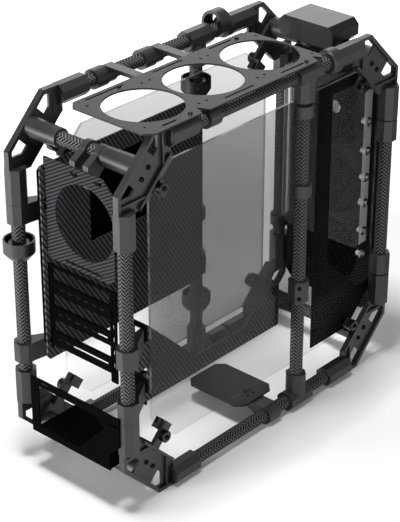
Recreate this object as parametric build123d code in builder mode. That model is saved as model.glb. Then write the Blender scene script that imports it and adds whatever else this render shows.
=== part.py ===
from build123d import *
import os

# Open air test bench: two octagonal side loops of carbon fibre tube joined by
# moulded corner brackets, tied across by four cross tubes.
# X runs along the bench from the rear (power supply end) to the front,
# Y runs across it, near side negative, and Z is up from the floor.

# Side loops
frame_length = 604.0
frame_height = 568.0
loop_outer_y = 108.0
rim_width = 9.4
tube_diameter = 20.0
tube_wall = 2.0
tube_inset = 15.2
tube_clearance = 0.1
mid_tube_inset = 220.0

# Corner brackets
corner_chamfer = 70.0
rim_thickness = 5.6
leg_length = 150.0
socket_length = 53.0
socket_size = 30.0
socket_depth = 42.0
web_thickness = 4.0
web_recess = 4.6
web_inner_sum = 146.0
gusset_shelf = 42.0
window_outer_sum = 79.0
window_inner_sum = 108.0
window_offset = 35.0
window_side_margin = 7.5
window_end = 80.0
inner_rim_thickness = 4.0
rib_thickness = 3.0
rib_start = 86.0
boss_position = 46.0
boss_tip_radius = 14.0
boss_base_radius = 15.6
boss_tip_y = 42.0
boss_bore_depth = 40.0
bracket_screw_sum = 111.0
bracket_screw_diff = 13.0
bracket_screw_diameter = 4.0

# Tees and clamps on the tubes
tee_length = 50.0
tee_stub = 43.0
collar_radius = 15.0
collar_length = 21.0
cup_radius = 23.0
cup_length = 29.0
cup_wall = 2.4
clamp_block_length = 30.0
clamp_gap = 0.5
arm_length = 34.0
arm_thickness = 6.0
arm_reach_y = 82.0
far_arm_rise = 15.0
near_arm_spacing = 85.5
tube_block_length = 36.0
block_gap = 1.0
wide_collar_radius = 19.0
hook_radius = 21.0
hook_wall = 4.5
hook_length = 21.0
hook_rise = 10.0
hook_clamp_radius = 17.0
hook_clamp_length = 13.0

# Fan plate on top, offset to the near side over the main chamber
fan_hole_diameter = 114.0
fan_pitch = 120.0
fan_screw_pitch = 105.0
screw_hole_diameter = 4.4
fan_line_y = -40.0
fan_plate_thickness = 2.5
fan_plate_rear_inset = 50.5
fan_plate_length = 369.5
fan_plate_width = 152.0
fan_plate_corner = 13.0
first_fan_inset = 70.0
edge_slot_width = 3.5
far_slot_inset = 8.0
near_slot_inset = 10.0
far_slots = ((-4.5, 74.0), (0.5, 60.0), (-8.5, 48.0))
near_slots = ((-20.0, 27.0), (-0.5, 60.0), (-8.0, 49.0))
clamp_notch_depth = 17.0
clamp_notch_width = 17.0
plate_clamp_ring = 23.0
plate_clamp_foot = 17.0
plate_foot_thickness = 6.0

# Motherboard tray and the black cover behind it
tray_y = 42.0
tray_thickness = 2.5
tray_rear_inset = 4.0
tray_front_gap = 56.0
tray_bottom_z = 192.0
tray_top_inset = 73.0
tray_corner = 5.0
cutout_rear_inset = 92.0
cutout_width = 121.0
cutout_top_inset = 30.0
cutout_height = 120.0
cover_y = 60.0
cover_thickness = 2.0
cover_inset = 12.0
post_diameter = 12.0

# Rear fan plate and the expansion slot frame
end_plate_inset = 11.0
rear_plate_thickness = 2.5
rear_plate_top_inset = 60.0
rear_plate_height = 152.0
rear_plate_chamfer = 10.0
rear_plate_far_chamfer = 20.0
rear_fan_y = -33.5
rear_fan_diameter = 111.0
rear_slot_spacing = 43.6
rear_slot_length = 11.0
rear_slot_inset = 8.5
rear_vent_length = 68.0
rear_vent_inset = 7.0
hanger_thickness = 10.0
hanger_spacing = 25.0
hanger_center_y = -23.5
slot_pitch = 20.32
slot_count = 6
slot_frame_gap = 9.5
slot_bar = 4.0
slot_strip_width = 12.0
slot_strip_bottom_z = 203.0
slot_cover_slit = 3.2

# Power supply frame
psu_far_y = 75.0
psu_near_y = -82.0
psu_bottom_z = 64.0
psu_height = 93.0
psu_rim = 12.0
psu_far_rim = 15.0
psu_plate_thickness = 2.5
psu_gusset = 52.0
psu_near_rim = 10.0
psu_ear_y = -101.5
psu_ear_height = 46.0
psu_ear_slope = 20.0
psu_slot_width = 2.4
psu_far_slot_length = 16.0
psu_near_slot_length = 19.0
psu_shelf_depth = 88.0

# Side glass
pane_outer_y = 87.6
pane_thickness = 4.0
pane_margin_z = 63.0
pane_short_inset = 79.0
pane_long_inset = 17.0
pane_chamfer = 47.0

# Pane holders
holder_width = 16.0
holder_thickness = 6.0
holder_foot_width = 34.0
holder_foot_start = 70.0
holder_foot_end = 90.0
jaw_width = 22.0
jaw_before_edge = 6.0
jaw_over_pane = 10.0
pane_clearance = 0.1
knob_radius = 9.0
knob_height = 9.0
knob_from_edge = 10.0
knob_from_web = 10.0

# Lower carbon side panel, behind the near pane
side_panel_bottom_z = 143.0
side_panel_band = 28.0
side_panel_thickness = 3.0
side_panel_rear_inset = 78.0
side_panel_rear_height = 123.0
side_panel_slope_length = 100.0
side_panel_front_gap = 20.0
side_panel_front_height = 71.0
side_panel_front_width = 36.0
panel_tab_length = 22.0
panel_low_tab_height = 13.0
panel_high_tab_rise = 55.0
panel_high_tab_height = 42.0
gusset_thickness = 2.0
gusset_depth = 36.0
high_gusset_height = 40.0
low_gusset_height = 56.0
low_gusset_drop = 9.0
gusset_window = 12.0

# Pump plate near the floor
pump_plate_z = 30.0
pump_plate_thickness = 3.0
pump_plate_length = 82.0
pump_plate_width = 113.0
pump_plate_gap = 65.0
pump_plate_near_y = -82.0
pump_plate_corner = 12.0

# Front fan plate, clear distribution plate and front side panel
front_plate_thickness = 2.5
front_plate_margin_z = 70.0
front_plate_corner = 18.0
front_fan_bottom_z = 158.0
front_cover_thickness = 2.0
front_cover_margin = 4.0
distribution_gap = 8.0
distribution_thickness = 18.0
distribution_half_width = 79.0
distribution_bottom_z = 190.0
distribution_top_inset = 98.0
distribution_corner = 10.0
side_cover_thickness = 2.5
side_cover_rear_inset = 157.0
side_cover_post = 33.0
side_cover_band = 22.0
side_cover_gusset_z = 205.0
side_cover_foot = 16.0

# Control box on the front top cross tube
box_length_x = 63.0
box_width_y = 102.0
box_height = 34.0
box_center_y = -7.0
box_behind_tube = 22.0
box_above_tube = 16.0
box_chamfer = 9.0
saddle_width = 12.0
saddle_foot = 30.0
saddle_neck = 18.0
saddle_spacing = 56.0

os.makedirs("parts", exist_ok=True)

# Derived frame positions
half_length = frame_length / 2
mid_tube_x = half_length - mid_tube_inset
tube_radius = tube_diameter / 2
tube_y = loop_outer_y - rim_width / 2 - 0.1
socket_half = socket_size / 2
tube_x = half_length - tube_inset
low_tube_z = tube_inset
high_tube_z = frame_height - tube_inset
bore_radius = tube_radius + tube_clearance
socket_start = leg_length - socket_length
socket_inner_y = tube_y - socket_half
socket_outer_x = tube_x + socket_half
tube_end = leg_length - socket_depth
cross_x = half_length - boss_position
cross_high_z = frame_height - boss_position
web_outer_y = loop_outer_y - web_recess
web_inner_y = web_outer_y - web_thickness
half_block = clamp_block_length / 2
upper_clamp_z = frame_height - leg_length - half_block - clamp_gap
lower_clamp_z = leg_length + half_block + clamp_gap
far_arm_z = (upper_clamp_z, lower_clamp_z + far_arm_rise)
near_arm_z = (lower_clamp_z + near_arm_spacing, lower_clamp_z)
front_block_z = (
    frame_height - leg_length - tube_block_length / 2 - block_gap,
    leg_length + tube_block_length / 2 + block_gap,
)
tray_rear_x = -half_length + tray_rear_inset
tray_front_x = mid_tube_x - tray_front_gap
tray_top_z = frame_height - tray_top_inset
rear_plate_x = -half_length + end_plate_inset
rear_plate_top_z = frame_height - rear_plate_top_inset
rear_plate_bottom_z = rear_plate_top_z - rear_plate_height
pane_bottom_z = pane_margin_z
pane_top_z = frame_height - pane_margin_z
pane_short_end = half_length - pane_short_inset
pane_long_end = half_length - pane_long_inset
front_plate_x = half_length - end_plate_inset - front_plate_thickness


def octagon(size):
    """Regular octagon with the given size across its flats, as corner points."""
    a = size / 2
    b = a * 0.41421356
    return [(a, b), (b, a), (-b, a), (-a, b), (-a, -b), (-b, -a), (b, -a), (a, -b)]


def corner_plane(y):
    """Plane parallel to the side loops, its x to the front and its y up, at a given Y."""
    return Plane(origin=(0, y, 0), x_dir=(1, 0, 0), z_dir=(0, -1, 0))


def at_corner(u, v):
    """Point of the far front top corner, u and v inward from its two outer faces."""
    return (half_length - u, frame_height - v)


# Corner bracket, made at the far front top corner and mirrored to the other seven
with BuildPart() as bracket:
    # Web plate with a straight inner edge across the corner
    with BuildSketch(corner_plane(web_outer_y)):
        Polygon(
            at_corner(corner_chamfer, 0),
            at_corner(socket_start + 8, 0),
            at_corner(socket_start + 8, gusset_shelf),
            at_corner(web_inner_sum - gusset_shelf, gusset_shelf),
            at_corner(gusset_shelf, web_inner_sum - gusset_shelf),
            at_corner(gusset_shelf, socket_start + 8),
            at_corner(0, socket_start + 8),
            at_corner(0, corner_chamfer),
            align=None,
        )
    extrude(amount=web_thickness)
    # Outer rim that follows the chamfered corner
    with BuildSketch(corner_plane(loop_outer_y)):
        with BuildLine():
            Polyline(
                at_corner(socket_start + 1, rim_thickness / 2),
                at_corner(corner_chamfer + rim_thickness * 0.2, rim_thickness / 2),
                at_corner(rim_thickness / 2, corner_chamfer + rim_thickness * 0.2),
                at_corner(rim_thickness / 2, socket_start + 1),
            )
            offset(amount=rim_thickness / 2, kind=Kind.INTERSECTION, closed=True)
        make_face()
    extrude(amount=rim_width)
    # Inner rim along the straight inner edge
    with BuildSketch(corner_plane(loop_outer_y)):
        inner_sum = web_inner_sum - inner_rim_thickness * 1.41421356
        Polygon(
            at_corner(web_inner_sum - gusset_shelf, gusset_shelf),
            at_corner(gusset_shelf, web_inner_sum - gusset_shelf),
            at_corner(gusset_shelf, inner_sum - gusset_shelf),
            at_corner(inner_sum - gusset_shelf, gusset_shelf),
            align=None,
        )
    extrude(amount=web_recess + web_thickness)
    # Stiffening ribs beside the sockets
    with BuildSketch(corner_plane(loop_outer_y - 0.8)):
        Polygon(
            at_corner(rib_start, 0),
            at_corner(rib_start + rib_thickness, 0),
            at_corner(rib_start + rib_thickness, gusset_shelf + 10),
            at_corner(rib_start, gusset_shelf + 10),
            align=None,
        )
        Polygon(
            at_corner(0, rib_start),
            at_corner(0, rib_start + rib_thickness),
            at_corner(gusset_shelf + 10, rib_start + rib_thickness),
            at_corner(gusset_shelf + 10, rib_start),
            align=None,
        )
    extrude(amount=rim_width - 0.8)
    # Two windows between the rim and the screw web
    with BuildSketch(corner_plane(loop_outer_y + 1)):
        for swap in (False, True):
            corners = [
                ((window_outer_sum - window_offset) / 2, (window_outer_sum + window_offset) / 2),
                ((window_inner_sum - window_offset) / 2, (window_inner_sum + window_offset) / 2),
                (window_inner_sum - window_end, window_end),
                (window_side_margin, window_end),
                (window_side_margin, window_outer_sum - window_side_margin),
            ]
            if swap:
                corners = [(v, u) for u, v in corners]
            Polygon(*[at_corner(u, v) for u, v in corners], align=None)
    extrude(amount=rim_width + 2, mode=Mode.SUBTRACT)
    # Octagonal sockets for the horizontal and the vertical tube
    horizontal_socket = Plane(
        origin=(half_length - leg_length, tube_y, high_tube_z), x_dir=(0, 1, 0), z_dir=(1, 0, 0)
    )
    with BuildSketch(horizontal_socket):
        Polygon(*octagon(socket_size), align=None)
    extrude(amount=socket_length)
    vertical_socket = Plane(
        origin=(tube_x, tube_y, frame_height - leg_length), x_dir=(1, 0, 0), z_dir=(0, 0, 1)
    )
    with BuildSketch(vertical_socket):
        Polygon(*octagon(socket_size), align=None)
    extrude(amount=socket_length)
    chamfer(
        bracket.edges().filter_by(Plane.YZ).group_by(Axis.X)[0],
        length=1.5,
    )
    # Boss that carries the cross tube, tapering inward
    boss_plane = Plane(
        origin=(cross_x, web_outer_y, cross_high_z), x_dir=(1, 0, 0), z_dir=(0, -1, 0)
    )
    with BuildSketch(boss_plane):
        Circle(boss_base_radius)
    with BuildSketch(boss_plane.offset(web_outer_y - boss_tip_y)):
        Circle(boss_tip_radius)
    loft()
    # Bores for the three tubes
    with BuildSketch(horizontal_socket):
        Circle(bore_radius)
    extrude(amount=socket_depth, mode=Mode.SUBTRACT)
    with BuildSketch(vertical_socket):
        Circle(bore_radius)
    extrude(amount=socket_depth, mode=Mode.SUBTRACT)
    with BuildSketch(boss_plane.offset(web_outer_y - boss_tip_y)):
        Circle(bore_radius)
    extrude(amount=-boss_bore_depth, mode=Mode.SUBTRACT)
    # Screw holes through the web
    with BuildSketch(corner_plane(loop_outer_y)):
        for side in (1, -1):
            u = (bracket_screw_sum + side * bracket_screw_diff) / 2
            v = (bracket_screw_sum - side * bracket_screw_diff) / 2
            with Locations(at_corner(u, v)):
                Circle(bracket_screw_diameter / 2)
    extrude(amount=rim_width + 2, mode=Mode.SUBTRACT)

mid_height_plane = Plane.XY.offset(frame_height / 2)
for side_name, near in (("far", False), ("near", True)):
    for end_name, rear in (("front", False), ("rear", True)):
        for level_name, low in (("top", False), ("bottom", True)):
            corner = bracket.part
            if near:
                corner = mirror(corner, about=Plane.XZ)
            if rear:
                corner = mirror(corner, about=Plane.YZ)
            if low:
                corner = mirror(corner, about=mid_height_plane)
            corner.label = f"corner_bracket_{side_name}_{end_name}_{level_name}"
            export_step(corner, f"parts/{corner.label}.step")

# Carbon fibre tubes of the side loops
with BuildPart() as long_tube:
    with BuildSketch(Plane.YZ.offset(-half_length + tube_end)):
        Circle(tube_radius)
        Circle(tube_radius - tube_wall, mode=Mode.SUBTRACT)
    extrude(amount=frame_length - 2 * tube_end)

with BuildPart() as upright_tube:
    with BuildSketch(Plane.XY.offset(tube_end)):
        Circle(tube_radius)
        Circle(tube_radius - tube_wall, mode=Mode.SUBTRACT)
    extrude(amount=frame_height - 2 * tube_end)

tee_socket_gap = 4.0
mid_tube_bottom = low_tube_z + socket_half + tee_socket_gap
with BuildPart() as middle_tube:
    with BuildSketch(Plane.XY.offset(mid_tube_bottom)):
        Circle(tube_radius)
        Circle(tube_radius - tube_wall, mode=Mode.SUBTRACT)
    extrude(amount=frame_height - 2 * mid_tube_bottom)

for side_name, y in (("far", tube_y), ("near", -tube_y)):
    for level_name, z in (("top", high_tube_z), ("bottom", low_tube_z)):
        tube = Pos(0, y, z) * long_tube.part
        tube.label = f"tube_{side_name}_{level_name}"
        export_step(tube, f"parts/{tube.label}.step")
    for place_name, x in (("rear", -tube_x), ("front", tube_x)):
        tube = Pos(x, y, 0) * upright_tube.part
        tube.label = f"tube_{side_name}_{place_name}"
        export_step(tube, f"parts/{tube.label}.step")
    tube = Pos(mid_tube_x, y, 0) * middle_tube.part
    tube.label = f"tube_{side_name}_middle"
    export_step(tube, f"parts/{tube.label}.step")

# Cross tubes between the bosses
cross_half = boss_tip_y + boss_bore_depth - 1.0
with BuildPart() as cross_tube:
    with BuildSketch(Plane.XZ.offset(-cross_half)):
        Circle(tube_radius)
        Circle(tube_radius - tube_wall, mode=Mode.SUBTRACT)
    extrude(amount=2 * cross_half)

for end_name, x in (("rear", -cross_x), ("front", cross_x)):
    for level_name, z in (("top", cross_high_z), ("bottom", boss_position)):
        tube = Pos(x, 0, z) * cross_tube.part
        tube.label = f"cross_tube_{end_name}_{level_name}"
        export_step(tube, f"parts/{tube.label}.step")

# Tee clamp that joins a middle tube to a long tube, made for the top
with BuildPart() as tee:
    with BuildSketch(Plane.YZ.offset(-tee_length / 2)):
        Polygon(*octagon(socket_size), align=None)
    extrude(amount=tee_length)
    with BuildSketch(Plane.XY.offset(-tee_stub)):
        Polygon(*octagon(socket_size), align=None)
    extrude(amount=tee_stub)
    chamfer(tee.edges().group_by(Axis.Z)[0], length=1.5)
    with BuildSketch(Plane.YZ.offset(-tee_length / 2)):
        Circle(bore_radius)
    extrude(amount=tee_length, mode=Mode.SUBTRACT)
    with BuildSketch(Plane.XY.offset(-tee_stub)):
        Circle(bore_radius)
    extrude(amount=tee_stub - socket_half - tee_socket_gap + 1, mode=Mode.SUBTRACT)

for side_name, y in (("far", tube_y), ("near", -tube_y)):
    upper = Pos(mid_tube_x, y, high_tube_z) * tee.part
    upper.label = f"tee_{side_name}_top"
    export_step(upper, f"parts/{upper.label}.step")
    lower = mirror(upper, about=mid_height_plane)
    lower.label = f"tee_{side_name}_bottom"
    export_step(lower, f"parts/{lower.label}.step")

# Plain collars, one solid each in a single node
with BuildPart() as collar:
    with BuildSketch(Plane.XY.offset(-collar_length / 2)):
        Circle(collar_radius)
        Circle(bore_radius, mode=Mode.SUBTRACT)
    extrude(amount=collar_length)
    chamfer(collar.edges().filter_by(GeomType.CIRCLE).sort_by(SortBy.RADIUS)[-2:], length=1.5)

with BuildPart() as wide_collar:
    with BuildSketch(Plane.XY.offset(-collar_length / 2)):
        Circle(wide_collar_radius)
        Circle(bore_radius, mode=Mode.SUBTRACT)
    extrude(amount=collar_length)
    chamfer(
        wide_collar.edges().filter_by(GeomType.CIRCLE).sort_by(SortBy.RADIUS)[-2:], length=2.5
    )

turn_to_x = Rot(0, 90, 0)
wide_collar_x = half_length - leg_length - collar_length / 2 - block_gap
far_middle_collar_z = 263.0
near_middle_collar_z = (370.0, frame_height - 72.0)
far_front_collar_z = leg_length + 26.0
collar_places = [Pos(mid_tube_x, tube_y, far_middle_collar_z)]
collar_places += [Pos(mid_tube_x, -tube_y, z) for z in near_middle_collar_z]
collar_places += [Pos(tube_x, tube_y, far_front_collar_z)]
collars = Compound(
    children=[place * collar.part for place in collar_places]
    + [Pos(wide_collar_x, -tube_y, high_tube_z) * turn_to_x * wide_collar.part]
)
collars.label = "plain_collars"
export_step(collars, "parts/plain_collars.step")

# Octagonal blocks clamped on the tubes, one solid each in a single node
with BuildPart() as tube_block:
    with BuildSketch(Plane.XY.offset(-tube_block_length / 2)):
        Polygon(*octagon(socket_size), align=None)
        Circle(bore_radius, mode=Mode.SUBTRACT)
    extrude(amount=tube_block_length)
    chamfer(tube_block.edges().filter_by(GeomType.LINE).group_by(Axis.Z)[0], length=1.5)
    chamfer(tube_block.edges().filter_by(GeomType.LINE).group_by(Axis.Z)[-1], length=1.5)

far_middle_block_z = 176.0
near_middle_block_z = 203.0
block_places = [Pos(tube_x, -tube_y, z) for z in front_block_z]
block_places += [Pos(mid_tube_x, tube_y, far_middle_block_z)]
block_places += [Pos(mid_tube_x, -tube_y, near_middle_block_z)]
low_block_x = half_length - leg_length - tube_block_length / 2 - 4.0 * block_gap
block_places += [Pos(low_block_x, tube_y, low_tube_z) * turn_to_x]
blocks = Compound(children=[place * tube_block.part for place in block_places])
blocks.label = "tube_blocks"
export_step(blocks, "parts/tube_blocks.step")

# Open cup rings; the lower one is cut flat beside the pane
with BuildPart() as cup:
    with BuildSketch(Plane.XZ):
        with BuildLine():
            Polyline(
                (bore_radius, -cup_length / 2),
                (collar_radius, -cup_length / 2),
                (cup_radius, -cup_length / 6),
                (cup_radius, cup_length / 2),
                (cup_radius - cup_wall, cup_length / 2),
                (cup_radius - cup_wall, -cup_length / 12),
                (collar_radius, cup_length / 8),
                (collar_radius, cup_length / 3),
                (bore_radius, cup_length / 3),
                close=True,
            )
        make_face()
    revolve(axis=Axis.Z)

with BuildPart() as trimmed_cup:
    add(cup.part)
    split(bisect_by=Plane.XZ.offset(socket_half), keep=Keep.BOTTOM)

rear_cup_z = upper_clamp_z - 56.5
low_cup_z = 106.0
high_cup_z = frame_height - 93.0
cups = Compound(
    children=[
        Pos(-tube_x, tube_y, rear_cup_z) * cup.part,
        Pos(mid_tube_x, tube_y, low_cup_z) * trimmed_cup.part,
        Pos(mid_tube_x, tube_y, high_cup_z) * trimmed_cup.part,
    ]
)
cups.label = "cup_rings"
export_step(cups, "parts/cup_rings.step")

# Hook ring on the far top tube: a clamp collar that carries an open ring above the tube
hook_end_x = half_length - leg_length - clamp_gap
with BuildPart() as hook_ring:
    with BuildSketch(Plane.YZ.offset(hook_end_x - hook_clamp_length)):
        with Locations((tube_y, high_tube_z)):
            Circle(hook_clamp_radius)
    extrude(amount=hook_clamp_length)
    with BuildSketch(Plane.YZ.offset(hook_end_x - hook_clamp_length - hook_length)):
        with Locations((tube_y, high_tube_z + hook_rise)):
            Circle(hook_radius)
            Circle(hook_radius - hook_wall, mode=Mode.SUBTRACT)
        with Locations((tube_y, high_tube_z - hook_radius + hook_rise + hook_wall)):
            Rectangle(hook_radius, hook_wall)
    extrude(amount=hook_length)
    with BuildSketch(Plane.YZ.offset(hook_end_x)):
        with Locations((tube_y, high_tube_z)):
            Circle(bore_radius)
    extrude(amount=-hook_clamp_length - hook_length, mode=Mode.SUBTRACT)
hook_ring.part.label = "hook_ring"
export_step(hook_ring.part, "parts/hook_ring.step")

# Clamp block with an arm along X; its inner face stands level with the arm
with BuildPart() as arm_clamp:
    with BuildSketch(Plane.XY.offset(-clamp_block_length / 2)):
        Polygon(*octagon(socket_size), align=None)
        with BuildLine():
            Polyline(
                (socket_half * 0.4, socket_half),
                (socket_half + arm_length, tube_y - arm_reach_y),
                (socket_half + arm_length, tube_y - arm_reach_y - arm_thickness),
                (socket_half * 0.9, -socket_half * 0.4),
                close=True,
            )
        make_face()
        Circle(bore_radius, mode=Mode.SUBTRACT)
    extrude(amount=clamp_block_length)

arms_far = Compound(
    children=[
        Pos(-tube_x, tube_y, z) * mirror(arm_clamp.part, about=Plane.XZ) for z in far_arm_z
    ]
)
arms_far.label = "arm_clamps_far_rear"
export_step(arms_far, "parts/arm_clamps_far_rear.step")
arms_near = Compound(
    children=[Pos(-tube_x, -tube_y, z) * arm_clamp.part for z in near_arm_z]
)
arms_near.label = "arm_clamps_near_rear"
export_step(arms_near, "parts/arm_clamps_near_rear.step")

# Fan plate on top
plate_bottom_z = frame_height
fan_plate_rear_x = -half_length + fan_plate_rear_inset
fan_plate_front_x = fan_plate_rear_x + fan_plate_length
fan_plate_near_y = fan_line_y - fan_plate_width / 2
fan_plate_far_y = fan_line_y + fan_plate_width / 2
fan_positions = [fan_plate_rear_x + first_fan_inset + i * fan_pitch for i in range(3)]
near_notches = (fan_positions[0] + 40.5, fan_positions[2] + 44.5)
with BuildPart() as fan_plate:
    with BuildSketch(Plane.XY.offset(plate_bottom_z)) as fan_plate_outline:
        with Locations(((fan_plate_rear_x + fan_plate_front_x) / 2, fan_line_y)):
            Rectangle(fan_plate_length, fan_plate_width)
        chamfer(fan_plate_outline.vertices(), length=fan_plate_corner)
        for x in fan_positions:
            with Locations((x, fan_line_y)):
                Circle(fan_hole_diameter / 2, mode=Mode.SUBTRACT)
            with Locations((x, fan_line_y)):
                with GridLocations(fan_screw_pitch, fan_screw_pitch, 2, 2):
                    Circle(screw_hole_diameter / 2, mode=Mode.SUBTRACT)
        for slots, y in (
            (far_slots, fan_plate_far_y - far_slot_inset),
            (near_slots, fan_plate_near_y + near_slot_inset),
        ):
            for x, (offset_x, length) in zip(fan_positions, slots):
                with Locations((x + offset_x, y)):
                    SlotOverall(length, edge_slot_width, mode=Mode.SUBTRACT)
        for x in near_notches:
            Polygon(
                (x - clamp_notch_width / 2, fan_plate_near_y - 1),
                (x + clamp_notch_width / 2, fan_plate_near_y - 1),
                (x, fan_plate_near_y + clamp_notch_depth),
                align=None,
                mode=Mode.SUBTRACT,
            )
    extrude(amount=fan_plate_thickness)
fan_plate.part.label = "fan_plate_top"
export_step(fan_plate.part, "parts/fan_plate_top.step")

# Ring clamps with feet under the fan plate
foot_top = plate_bottom_z - high_tube_z
foot_middle = foot_top - plate_foot_thickness / 2
with BuildPart() as near_foot:
    with BuildSketch(Plane.YZ):
        Circle(collar_radius)
        with Locations((collar_radius / 2, foot_middle)):
            Rectangle(collar_radius + 12, plate_foot_thickness)
        Circle(bore_radius, mode=Mode.SUBTRACT)
    extrude(amount=plate_clamp_ring)
far_foot_reach = tube_y - fan_plate_far_y + far_slot_inset + edge_slot_width
with BuildPart() as far_foot:
    with BuildSketch(Plane.YZ):
        Circle(collar_radius)
        Circle(bore_radius, mode=Mode.SUBTRACT)
    extrude(amount=-plate_clamp_ring)
    with BuildSketch(Plane.YZ):
        Circle(collar_radius - 2)
        with Locations((-far_foot_reach / 2, foot_middle)):
            Rectangle(far_foot_reach, plate_foot_thickness)
        Circle(bore_radius, mode=Mode.SUBTRACT)
    extrude(amount=plate_clamp_foot)
near_foot_x = near_notches[0] + 9.0
far_foot_x = (fan_positions[0] + 68.0, fan_positions[1] + 45.0)
plate_clamps = Compound(
    children=[Pos(near_foot_x, -tube_y, high_tube_z) * near_foot.part]
    + [Pos(x, tube_y, high_tube_z) * far_foot.part for x in far_foot_x]
)
plate_clamps.label = "fan_plate_clamps"
export_step(plate_clamps, "parts/fan_plate_clamps.step")

# Motherboard tray
with BuildPart() as tray:
    with BuildSketch(corner_plane(tray_y + tray_thickness)) as tray_outline:
        with Locations(((tray_rear_x + tray_front_x) / 2, (tray_bottom_z + tray_top_z) / 2)):
            Rectangle(tray_front_x - tray_rear_x, tray_top_z - tray_bottom_z)
        chamfer(tray_outline.vertices(), length=tray_corner)
        with Locations(
            (
                tray_rear_x + cutout_rear_inset + cutout_width / 2,
                tray_top_z - cutout_top_inset - cutout_height / 2,
            )
        ):
            RectangleRounded(cutout_width, cutout_height, 6, mode=Mode.SUBTRACT)
    extrude(amount=tray_thickness)
tray.part.label = "motherboard_tray"
export_step(tray.part, "parts/motherboard_tray.step")

# Black cover behind the tray
with BuildPart() as cover:
    with BuildSketch(corner_plane(cover_y + cover_thickness)) as cover_outline:
        with Locations(
            ((tray_rear_x + tray_front_x) / 2, (tray_bottom_z + tray_top_z) / 2)
        ):
            Rectangle(
                tray_front_x - tray_rear_x - 2 * cover_inset,
                tray_top_z - tray_bottom_z - 2 * cover_inset,
            )
        chamfer(cover_outline.vertices(), length=tray_corner)
    extrude(amount=cover_thickness)
cover.part.label = "tray_cover"
export_step(cover.part, "parts/tray_cover.step")

# Spacers: tray to cover, and cover to the arms on the far rear tube
with BuildPart() as short_spacer:
    with BuildSketch(corner_plane(cover_y)):
        Circle(post_diameter / 2)
    extrude(amount=cover_y - tray_y - tray_thickness)
with BuildPart() as long_spacer:
    with BuildSketch(corner_plane(arm_reach_y)):
        Circle(post_diameter / 2)
    extrude(amount=arm_reach_y - cover_y - cover_thickness)
arm_end_x = -tube_x + socket_half + arm_length - post_diameter
high_spacer_z = far_arm_z[0]
low_spacer_z = tray_bottom_z + cover_inset + post_diameter / 2 + 1
front_spacer_x = tray_front_x - cover_inset - post_diameter
spacer_places = [
    (arm_end_x, high_spacer_z),
    (arm_end_x, low_spacer_z),
    (front_spacer_x, high_spacer_z),
    (front_spacer_x, low_spacer_z),
]
spacers = Compound(
    children=[Pos(x, 0, z) * short_spacer.part for x, z in spacer_places]
    + [Pos(x, 0, z) * long_spacer.part for x, z in spacer_places[:1]]
)
spacers.label = "tray_spacers"
export_step(spacers, "parts/tray_spacers.step")

# Rear fan plate
rear_plane = Plane(origin=(rear_plate_x, 0, 0), x_dir=(0, 1, 0), z_dir=(1, 0, 0))
rear_plate_near_y = -socket_inner_y + tube_clearance
slot_frame_near_y = rear_plate_near_y
with BuildPart() as rear_plate:
    with BuildSketch(rear_plane) as rear_outline:
        with Locations(
            (
                (rear_plate_near_y + tray_y) / 2,
                (rear_plate_bottom_z + rear_plate_top_z) / 2,
            )
        ):
            Rectangle(tray_y - rear_plate_near_y, rear_plate_top_z - rear_plate_bottom_z)
        chamfer(rear_outline.vertices().group_by(Axis.Y)[0], length=rear_plate_chamfer)
        chamfer(
            rear_outline.vertices().group_by(Axis.Y)[-1].sort_by(Axis.Z)[0],
            length=rear_plate_far_chamfer,
        )
        with Locations((rear_fan_y, (rear_plate_bottom_z + rear_plate_top_z) / 2)):
            Circle(rear_fan_diameter / 2, mode=Mode.SUBTRACT)
        with Locations(
            (rear_fan_y - 5 - rear_slot_spacing / 2, rear_plate_top_z - rear_slot_inset),
            (rear_fan_y - 5 + rear_slot_spacing / 2, rear_plate_top_z - rear_slot_inset),
        ):
            SlotCenterToCenter(rear_slot_length, screw_hole_diameter, mode=Mode.SUBTRACT)
        with Locations((rear_fan_y + 4, rear_plate_bottom_z + rear_vent_inset)):
            SlotCenterToCenter(rear_vent_length, edge_slot_width, mode=Mode.SUBTRACT)
    extrude(amount=rear_plate_thickness)
rear_plate.part.label = "rear_fan_plate"
export_step(rear_plate.part, "parts/rear_fan_plate.step")

# Hangers from the rear top cross tube to the rear fan plate
hanger_face_x = rear_plate_x + rear_plate_thickness
with BuildPart() as hanger:
    with BuildSketch(corner_plane(hanger_thickness / 2)):
        with Locations((-cross_x, cross_high_z)):
            Circle(boss_tip_radius)
        Polygon(
            (-cross_x, cross_high_z + boss_tip_radius * 0.9),
            (hanger_face_x, rear_plate_top_z + 8),
            (hanger_face_x, rear_plate_top_z - 24),
            (hanger_face_x + 7, rear_plate_top_z - 24),
            (-cross_x + 2, cross_high_z - boss_tip_radius * 0.9),
            align=None,
        )
        with Locations((-cross_x, cross_high_z)):
            Circle(bore_radius, mode=Mode.SUBTRACT)
    extrude(amount=hanger_thickness)
hangers = Compound(
    children=[
        Pos(0, hanger_center_y + side * hanger_spacing / 2, 0) * hanger.part
        for side in (-1, 1)
    ]
)
hangers.label = "rear_plate_hangers"
export_step(hangers, "parts/rear_plate_hangers.step")

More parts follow.
